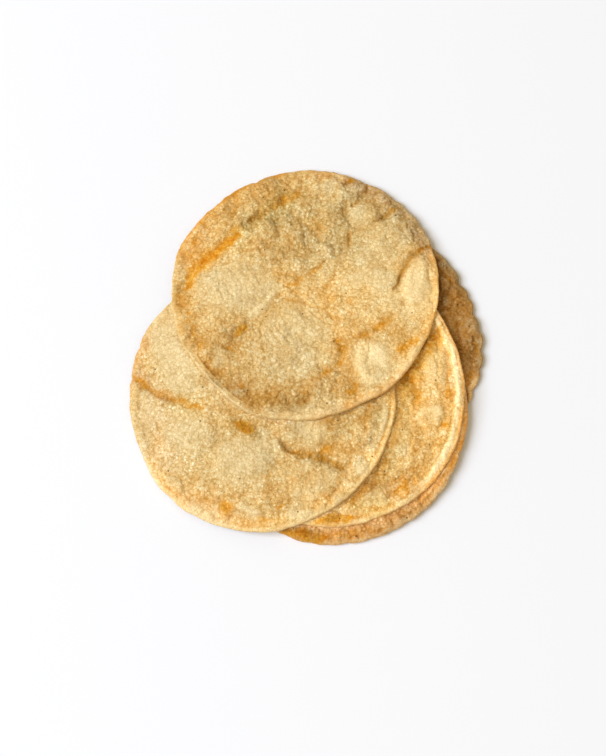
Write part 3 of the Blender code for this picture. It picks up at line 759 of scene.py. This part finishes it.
# Only its right third is in sight: browner, wrinkled, with a scalloped rim.
BOTTOM = dict(
    blisters=[(57, 36, 14, 8, 60, 1.1), (66, 8, 13, 7, 85, 1.3), (58, -18, 14, 8, 70, 1)],
    grooves=[
        (1.3, 0.7, (56, 48), (62, 38)), (1.2, 0.6, (58, 36), (63, 30)), (1.3, 0.6, (51, 46), (57, 38)),
        (1.3, 0.8, (69, 5), (70, -4)), (1.2, 0.5, (62, 20), (70, 16)), (1.2, 0.5, (63, -6), (70, -8)),
        (1.2, 0.5, (54, 24), (60, 22)),
    ],
    scorch=[
        (1.3, 0.9, (61, 13)), (1.5, 0.8, (69, 3), (70, -6)), (1.3, 0.5, (64, 28), (68, 22)),
        (1.4, 0.6, (66, -14), (64, -24)), (1.8, 0.5, (54, 46), (57, 38)),
    ],
    # The warmth near the rounds above, from (52, 50) to (60, 4), is painted golden shade.
    warmth=[(9, 0.6, (52, 50), (54, 24), (60, 4)), (6, 0.3, (66, 28), (70, 0), (66, -20))],
    pale=[(3, 0.3, (66, 14))],
    # Darker under the rims of the rounds above, from (48, 54) to (60, -10): painted shade. (65, -22) to
    # (60, -36), below 0, is painted light.
    dull=[
        (11, 0.4, (50, 44), (56, 14), (60, -10)), (8, 0.7, (48, 54), (56, 40)),
        (4, 0.4, (69, 2), (67, -12)), (8, -1.45, (65, -22), (60, -36)),
    ],
    rim_pale=[(-32, 50, 1.2, 1.6, 0.4)],
    rim_folds=[(-32, 50, 4.5, 1, 0.7)],
    wrinkles=[(64, 12, 34, 9, 90, 150, 3.4, 0.5), (58, 30, 16, 8, 60, 20, 2.6, 0.4)],
    notches=[
        (31.5, 1.9, 3), (15.7, 1.7, 3), (-1.2, 1.6, 2.6), (-10.2, 1.4, 2.4), (-20.2, 1.5, 2.6),
        (41, 0.9, 2.4), (8, 0.7, 2), (24, 0.6, 2), (-27, 0.8, 2.2),
    ],
    flecks=[(60, 25), (66, 12), (55, 34)],
)

# From the bottom up, each with how much browner, darker and pinker it is than plain dough; the darker part
# is partly duller dough and partly painted shade.
PILE = [
    # The lowest round lies low in the shade of the others: its browner and darker tone is partly painted
    # shade.
    Tortilla("bottom_tortilla", "tortilla_1", "toasted_dough", 11, 0.21, 0.44, 0.05, **BOTTOM),
    Tortilla("near_rim_tortilla", "tortilla_2", "toasted_dough", 22, 0.07, -0.07, 0.075, **NEAR_RIM),
    Tortilla("front_right_tortilla", "tortilla_3", "corn_dough", 33, 0.02, -0.12, -0.008, **FRONT_RIGHT),
    Tortilla("front_left_tortilla", "tortilla_4", "corn_dough", 44, -0.01, 0.05, -0.008, **FRONT_LEFT),
    Tortilla("top_tortilla", "tortilla_5", "corn_dough", 55, 0.03, 0.0, -0.006, **TOP),
]


# ---- the meshes


def deselect_all():
    if bpy.context.mode != "OBJECT":
        bpy.ops.object.mode_set(mode="OBJECT")
    bpy.ops.object.select_all(action="DESELECT")


def edit_all():
    bpy.ops.object.mode_set(mode="EDIT")
    bpy.ops.mesh.select_all(action="SELECT")


def hexagon_sheet(level, cuts):
    """A flat hexagon of even triangles, facing up."""
    deselect_all()
    bpy.ops.mesh.primitive_circle_add(
        vertices=SIDES, radius=1.0, fill_type="TRIFAN", location=(0, 0, level)
    )
    sheet = bpy.context.active_object
    bpy.ops.object.transform_apply(location=True)
    edit_all()
    for pieces in cuts:
        bpy.ops.mesh.subdivide(number_cuts=pieces - 1)
    return sheet


def blank_round():
    """The round that all five are copied from, still a hexagon, between the levels -1 and 1."""
    top = hexagon_sheet(1.0, TOP_CUTS)
    bpy.ops.mesh.region_to_loop()
    level = 1.0
    for lower in RIM_LEVELS:
        bpy.ops.mesh.extrude_region_move(TRANSFORM_OT_translate={"value": (0, 0, lower - level)})
        level = lower
    hexagon_sheet(-1.0, UNDER_CUTS)
    bpy.ops.mesh.region_to_loop()
    bpy.ops.mesh.subdivide(number_cuts=1)
    bpy.ops.object.mode_set(mode="OBJECT")
    top.select_set(True)
    bpy.context.view_layer.objects.active = top
    bpy.ops.object.join()
    edit_all()
    bpy.ops.mesh.remove_doubles(threshold=WELD)
    bpy.ops.mesh.quads_convert_to_tris()
    bpy.ops.mesh.normals_make_consistent(inside=False)
    bpy.ops.object.mode_set(mode="OBJECT")
    return top


def positions(mesh):
    values = np.empty(3 * len(mesh.vertices))
    mesh.vertices.foreach_get("co", values)
    return values.reshape(-1, 3).T


def polar(x, y):
    """Share of the radius and angle that turn the hexagon into a disc with evenly spread rings."""
    sector = 2 * math.pi / SIDES
    angle = np.arctan2(y, x)
    corner = np.floor((angle - sector / 2) / sector + WELD) * sector + sector / 2
    past = angle - corner
    reach = np.hypot(x, y)
    share = reach * np.cos(past - sector / 2) / math.cos(sector / 2)
    along_side = reach * np.sin(past) / (share.clip(WELD) * math.sin(sector))
    return share, corner + sector * along_side


def rim_curl(level):
    """How far the rim lies inside the outline at each level."""
    above = ((level - RIM_WIDEST) / (1 - RIM_WIDEST)).clip(0)
    below = ((RIM_WIDEST - level) / (1 + RIM_WIDEST)).clip(0)
    return RIM_ROUNDING * (1 - np.sqrt(1 - above**2)) + UNDER_ROUNDING * (1 - np.sqrt(1 - below**2))


def sculpted(tortilla, blank):
    """The blank's copy, shaped as this tortilla, with all that its colour follows as attributes."""
    piece = blank.copy()
    mesh = piece.data = blank.data.copy()
    piece.name = mesh.name = tortilla.name
    bpy.context.scene.collection.objects.link(piece)
    flat_x, flat_y, level = positions(mesh)
    share, angle = polar(flat_x, flat_y)
    outline = tortilla.outline(angle)
    radius = share * (outline - rim_curl(level))
    x, y = radius * np.cos(angle), radius * np.sin(angle)
    inward = outline - radius
    middle_x, middle_y = tortilla.middle
    noise, bubbles = tortilla.noise, tortilla.bubbles

    low = tortilla.underside(x, y)
    rim_lift = RIM_LIFT + RIM_LIFT * noise.at(x, y, RIM_LIFT_PITCH)
    low += eased((share - RIM_LIFT_FROM) / (1 - RIM_LIFT_FROM)) * rim_lift
    wx, wy = tortilla.wobbled(x, y)
    height, rim_puffs, looks = tortilla.relief(x, y, wx, wy, angle, inward)
    edge = eased(inward / EDGE_BAND)
    upper = low + THICKNESS + height * (EDGE_RELIEF + (1 - EDGE_RELIEF) * edge)
    ceiling = tortilla.covered(x + middle_x, y + middle_y)
    upper = np.minimum(np.maximum(upper, low + THINNEST), ceiling)
    under_grain, _ = bubbles.at(x + 300, y, UNDER_GRAIN_PITCH)
    under_swell = UNDER_SWELL * (1 + noise.at(x + 200, y, UNDER_SWELL_PITCH))
    low += (under_swell + UNDER_GRAIN * under_grain) * edge
    z = low + (upper - low) * (1 + level) / 2
    places = np.array([x + middle_x, y + middle_y, z]).T * MM
    mesh.vertices.foreach_set("co", places.ravel())

    looks = {name: values * (level > 0) for name, values in looks.items()}
    looks["grain"] += 0.5 * under_grain * (level <= 0)
    fleck = np.zeros_like(x)
    for place in tortilla.flecks:
        fleck = np.maximum(fleck, (1 - distance_to(x, y, [place])[0] / FLECK_SIZE).clip(0))
    looks["fleck"] = fleck * (level > 0.5)
    looks |= tortilla.colour_marks(wx, wy, angle, inward)
    looks["pale"] = either(looks["pale"], RIM_PUFF_PALENESS * rim_puffs)
    near = eased((COVER_FAR - (ceiling - low)) / (COVER_FAR - COVER_NEAR)) * (ceiling < np.inf)
    hidden = np.maximum(np.where(level < HIDDEN_BELOW, 1.0, 0.0), near)
    for kind, own in tortilla.own_marks(x, y).items():
        looks[kind] = looks[kind] * (1 - hidden) + hidden * own
    for name, values in looks.items():
        mesh.attributes.new(name, "FLOAT", "POINT").data.foreach_set("value", values)
    mesh.shade_smooth()
    mesh.update()
    return piece


# ---- the dough's finish

# Linear colours, and how much a unit of browning takes from red, green and blue.
CRUST = (0.87, 0.68, 0.365)
RED_TAKEN, GREEN_TAKEN, BLUE_TAKEN = 0.10, 0.80, 2.22
GREEN_SPARED = 0.17  # deep browning leaves more of the green
HULL = (0.10, 0.05, 0.02, 1.0)
HULL_OPACITY = 0.85
PLAIN_GOLD = 0.18  # browning of dough that is neither pale nor toasted
TOASTED_GOLD, DEEP_GOLD = 0.22, 0.38  # what toasting adds to it
PLAIN_DULLING = 0.07
ROUGHNESS = 0.72
SPECULAR = 0.15
BUMP_STRENGTH, BUMP_HEIGHT = 0.45, 0.4
ONE_E = math.exp(-1)

# Spacings of its unevenness, in millimetres.
CLOUD_PITCH, MOTTLE_PITCH, FINE_PITCH = 15.0, 3.0, 0.9
BEAD_PITCH, SEAM_PITCH, PIT_PITCH = 1.8, 2.4, 2.9
SHAKE, SHAKE_PITCH = 2.2, 2.6  # how far, and at what spacing, small cells are pushed out of shape


def arithmetic(operation, reflected=False):
    """The method of a socket that joins it and something else in a Math node."""

    def joined(self, other):
        first, second = (other, self) if reflected else (self, other)
        return self.finish.node("ShaderNodeMath", {"operation": operation}, {0: first, 1: second})

    return joined


class Socket:
    """A value that varies over the surface; arithmetic on it adds Math nodes."""

    def __init__(self, finish, socket):
        self.finish, self.socket = finish, socket

    def beside(self, output):
        """Another output of the same node."""
        return Socket(self.finish, self.socket.node.outputs[output])

    __add__ = __radd__ = arithmetic("ADD")
    __mul__ = __rmul__ = arithmetic("MULTIPLY")
    __sub__ = arithmetic("SUBTRACT")
    __rsub__ = arithmetic("SUBTRACT", reflected=True)
    __rpow__ = arithmetic("POWER", reflected=True)


class Finish:
    """A material under construction."""

    def __init__(self, name):
        self.material = bpy.data.materials.new(name)
        self.material.use_nodes = True
        self.nodes = self.material.node_tree.nodes
        self.links = self.material.node_tree.links
        self.surface = self.nodes["Principled BSDF"]

    def node(self, kind, settings, sockets, output=0):
        """A new node with its settings and sockets filled in, as the socket that it gives."""
        made = self.nodes.new(kind)
        for name, value in settings.items():
            setattr(made, name, value)
        for name, value in sockets.items():
            self.fill(made.inputs[name], value)
        return Socket(self, made.outputs[output])

    def fill(self, socket, value):
        if isinstance(value, Socket):
            self.links.new(value.socket, socket)
        else:
            socket.default_value = value

    def dress(self, sockets):
        """Fill in the surface itself."""
        for name, value in sockets.items():
            self.fill(self.surface.inputs[name], value)


class Dough(Finish):
    """A dough's material under construction, with what its unevenness and colour are made of."""

    def __init__(self, name):
        super().__init__(name)
        self.place = self.node("ShaderNodeTexCoord", {}, {}, "Object")
        stir = self.noise(SHAKE_PITCH, 2.0, 0.6).beside("Color")
        sockets = {0: stir, 1: (SHAKE * MM,) * 3, 2: self.place}
        self.shaken = self.node("ShaderNodeVectorMath", {"operation": "MULTIPLY_ADD"}, sockets)

    def attribute(self, name):
        return self.node("ShaderNodeAttribute", {"attribute_name": name}, {}, "Fac")

    def noise(self, pitch, detail, roughness):
        """Cloudy unevenness around 0.5."""
        sockets = {"Vector": self.place, "Scale": 1 / (pitch * MM)}
        sockets |= {"Detail": detail, "Roughness": roughness}
        return self.node("ShaderNodeTexNoise", {}, sockets, "Fac")

    def cells(self, pitch, feature="F1"):
        """How far each place is from the middle, or the edge, of its cell, as a share of the pitch."""
        sockets = {"Vector": self.shaken, "Scale": 1 / (pitch * MM)}
        return self.node("ShaderNodeTexVoronoi", {"feature": feature}, sockets, "Distance")

    def step(self, value, low, high):
        """0 below low, 1 above high, eased in between; the other way round if low is the higher."""
        sockets = {"Value": value, "From Min": low, "From Max": high}
        return self.node("ShaderNodeMapRange", {"interpolation_type": "SMOOTHSTEP"}, sockets)

    def mix(self, below, above, amount):
        """Two colours, mixed by an amount."""
        settings = {"data_type": "RGBA", "clamp_factor": True}
        return self.node("ShaderNodeMix", settings, {0: amount, 6: below, 7: above}, 2)

    def dimmed(self, browning, dulling_and_shade, pink):
        """Dough dimmed by all three; browning spares red and takes most of the blue, pink takes green."""
        green_taken = browning * (GREEN_TAKEN - self.step(browning, 0.3, 1.25) * GREEN_SPARED) + pink
        taken = (browning * RED_TAKEN, green_taken, browning * BLUE_TAKEN)
        left = [part * ONE_E ** (lost + dulling_and_shade) for part, lost in zip(CRUST, taken)]
        return self.node("ShaderNodeCombineColor", {}, dict(zip(("Red", "Green", "Blue"), left)))


def baked_dough(name, browner, duller, pinker):
    """Baked maize dough, the whole round a little browner, darker and pinker than plain dough, the darker
    part partly painted shade.
    """
    dough = Dough(name)
    scorch, warmth, pale, dull = (dough.attribute(kind) for kind in ("scorch", "warmth", "pale", "dull"))
    lumps, grain, calm, hollow = (dough.attribute(kind) for kind in ("lumps", "grain", "calm", "hollow"))
    blush, fleck = dough.attribute("blush"), dough.attribute("fleck")
    cloud = dough.noise(CLOUD_PITCH, 4.0, 0.9) - 0.5
    mottle = dough.noise(MOTTLE_PITCH, 3.0, 0.7) - 0.5
    fine = dough.noise(FINE_PITCH, 2.0, 0.8) - 0.5

    # Small bubbles, darker and more golden between them, partly painted shade, with a painted glint of
    # cream on the tops of some; and a net of fine cracks.
    beads = dough.cells(BEAD_PITCH)
    bright = dough.step(beads.beside("Color"), 0.42, 0.72)
    gaps = dough.step(beads - grain * 0.4 + fine * 0.9, 0.3, 0.72)
    # Painted glints: cream on the tops of some bubbles, where they are also glossier.
    painted_glints = dough.step(beads + fine * 0.4, 0.42, 0.16) * bright
    cracks = dough.cells(SEAM_PITCH, "DISTANCE_TO_EDGE") + mottle * 0.3 + fine * 0.12
    seams = dough.step(cracks, 0.13, 0.01)
    pits = dough.step(dough.cells(PIT_PITCH) + mottle * 0.5, 0.15, 0.05)

    # How much darker each place is than its surroundings: random unevenness, cracks and pits, painted
    # shade between the bubbles and in the dips of the lumps, painted light on their rises, and the painted
    # glints below 0.
    busy = 1 - calm * 0.9
    dark = fine * 0.5 * (1 - calm * 0.15) + ((gaps - 0.35) * 0.32 - painted_glints * 0.3) * busy
    dark = dark + (seams - 0.15) * 0.22 + pits * 0.4 - lumps * 0.07

    # Browning, darkening and pink: first of the plain dough, then of the toasted places. The hollows of
    # grooves, moats and folds are painted browner and darker: painted shade.
    gold = warmth * 0.5 + scorch * 0.3 + hollow * 0.2 + (PLAIN_GOLD + browner)
    gold = gold + cloud * (gold * 3.4 + 0.2) + mottle * (gold * 1.4)
    gold = (gold + dark * 0.62) * (1 - pale * 0.8)
    bleached = dough.step(pale, 0.45, 1.0)
    dulling_and_shade = (dull * 0.42 + PLAIN_DULLING) * (1 - bleached * 0.85)
    dulling_and_shade = dulling_and_shade + cloud * 0.35 + mottle * 0.25 + duller
    dulling_and_shade = dulling_and_shade + dark * 0.68 + hollow * 0.1 - bleached * 0.12
    toasted = dough.step(scorch + mottle * 2.0 + fine * 0.9, 0.25, 0.95)
    deep = dough.step(scorch + mottle * 1.8 + cloud * 0.6 + fine * 0.7, 0.55, 1.2)
    gold = gold + toasted * (deep * DEEP_GOLD + TOASTED_GOLD)
    dulling_and_shade = dulling_and_shade * (1 - toasted * 0.25)
    pink = blush * 0.09 + warmth * 0.035 + mottle * 0.08 + cloud * 0.08 + pinker
    pink = pink * (1 - pale * 0.4) * (1 - toasted * 0.5) - toasted * deep * 0.1
    colour = dough.dimmed(gold, dulling_and_shade, pink)
    colour = dough.mix(colour, HULL, dough.step(fleck + fine * 0.4, 0.35, 0.6) * HULL_OPACITY)

    bumps = (1 - beads) * 0.9 + fine * 0.45 - seams * 0.4
    sockets = {"Strength": BUMP_STRENGTH, "Distance": BUMP_HEIGHT * MM, "Height": bumps}
    normal = dough.node("ShaderNodeBump", {}, sockets)
    dough.dress({"Base Color": colour, "Roughness": ROUGHNESS - painted_glints * 0.3 - toasted * 0.12})
    dough.dress({"Normal": normal, "Specular IOR Level": SPECULAR})
    return dough.material


# ---- the studio

FLOOR_SIZE = 24.0
FLOOR_LEVEL = -0.05 * MM
FLOOR_TONE = (0.93, 0.93, 0.93, 1.0)
FLOOR_ROUGHNESS = 0.9

KEY_AZIMUTH, KEY_ELEVATION = math.radians(187), math.radians(50)
KEY_REACH, KEY_SIZE = 5.0, 3.2
KEY_POWER = 208.0
KEY_COLOUR = (0.98, 1.09, 1.32)

GLOW_COLOUR = (1.0, 0.87, 0.62, 1.0)
GLOW_STRENGTH = 0.48

CAMERA_ELEVATION = math.radians(78)
CAMERA_REACH = 0.9
CAMERA_AIM = (-0.0024, -0.0152, 0.006)
CAMERA_LENS = 76.26


def pale_floor():
    deselect_all()
    bpy.ops.mesh.primitive_plane_add(size=FLOOR_SIZE, location=(0, 0, FLOOR_LEVEL))
    floor = bpy.context.active_object
    floor.name = "floor"
    finish = Finish("pale_floor")
    finish.dress({"Base Color": FLOOR_TONE, "Roughness": FLOOR_ROUGHNESS})
    floor.data.materials.append(finish.material)


def lights():
    """A wide soft light from the left and an even glow from all round."""
    flat = math.cos(KEY_ELEVATION)
    away = Vector((flat * math.cos(KEY_AZIMUTH), flat * math.sin(KEY_AZIMUTH), math.sin(KEY_ELEVATION)))
    bpy.ops.object.light_add(type="AREA", location=KEY_REACH * away)
    key = bpy.context.active_object
    key.name = "soft_key"
    key.rotation_euler = away.to_track_quat("Z", "Y").to_euler()
    key.data.shape = "SQUARE"
    key.data.size = KEY_SIZE
    key.data.energy = KEY_POWER
    key.data.color = KEY_COLOUR

    world = bpy.data.worlds.new("studio_glow")
    world.use_nodes = True
    glow = world.node_tree.nodes["Background"]
    glow.inputs["Color"].default_value = GLOW_COLOUR
    glow.inputs["Strength"].default_value = GLOW_STRENGTH
    bpy.context.scene.world = world
    bpy.context.scene.view_settings.view_transform = "Standard"


def camera():
    """Nearly straight above, a little towards the near side."""
    away = Vector((0.0, -math.cos(CAMERA_ELEVATION), math.sin(CAMERA_ELEVATION)))
    data = bpy.data.cameras.new("camera")
    data.lens = CAMERA_LENS
    viewer = bpy.data.objects.new("camera", data)
    viewer.location = Vector(CAMERA_AIM) + CAMERA_REACH * away
    viewer.rotation_euler = away.to_track_quat("Z", "Y").to_euler()
    bpy.context.scene.collection.objects.link(viewer)
    bpy.context.scene.camera = viewer


def main():
    blank = blank_round()
    for tortilla in PILE:
        piece = sculpted(tortilla, blank)
        dough = baked_dough(tortilla.name + "_dough", tortilla.browner, tortilla.duller, tortilla.pinker)
        piece.data.materials.append(dough)
        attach(piece, "root")
        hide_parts(tortilla.node)
    bpy.data.objects.remove(blank)
    pale_floor()
    lights()
    camera()


main()
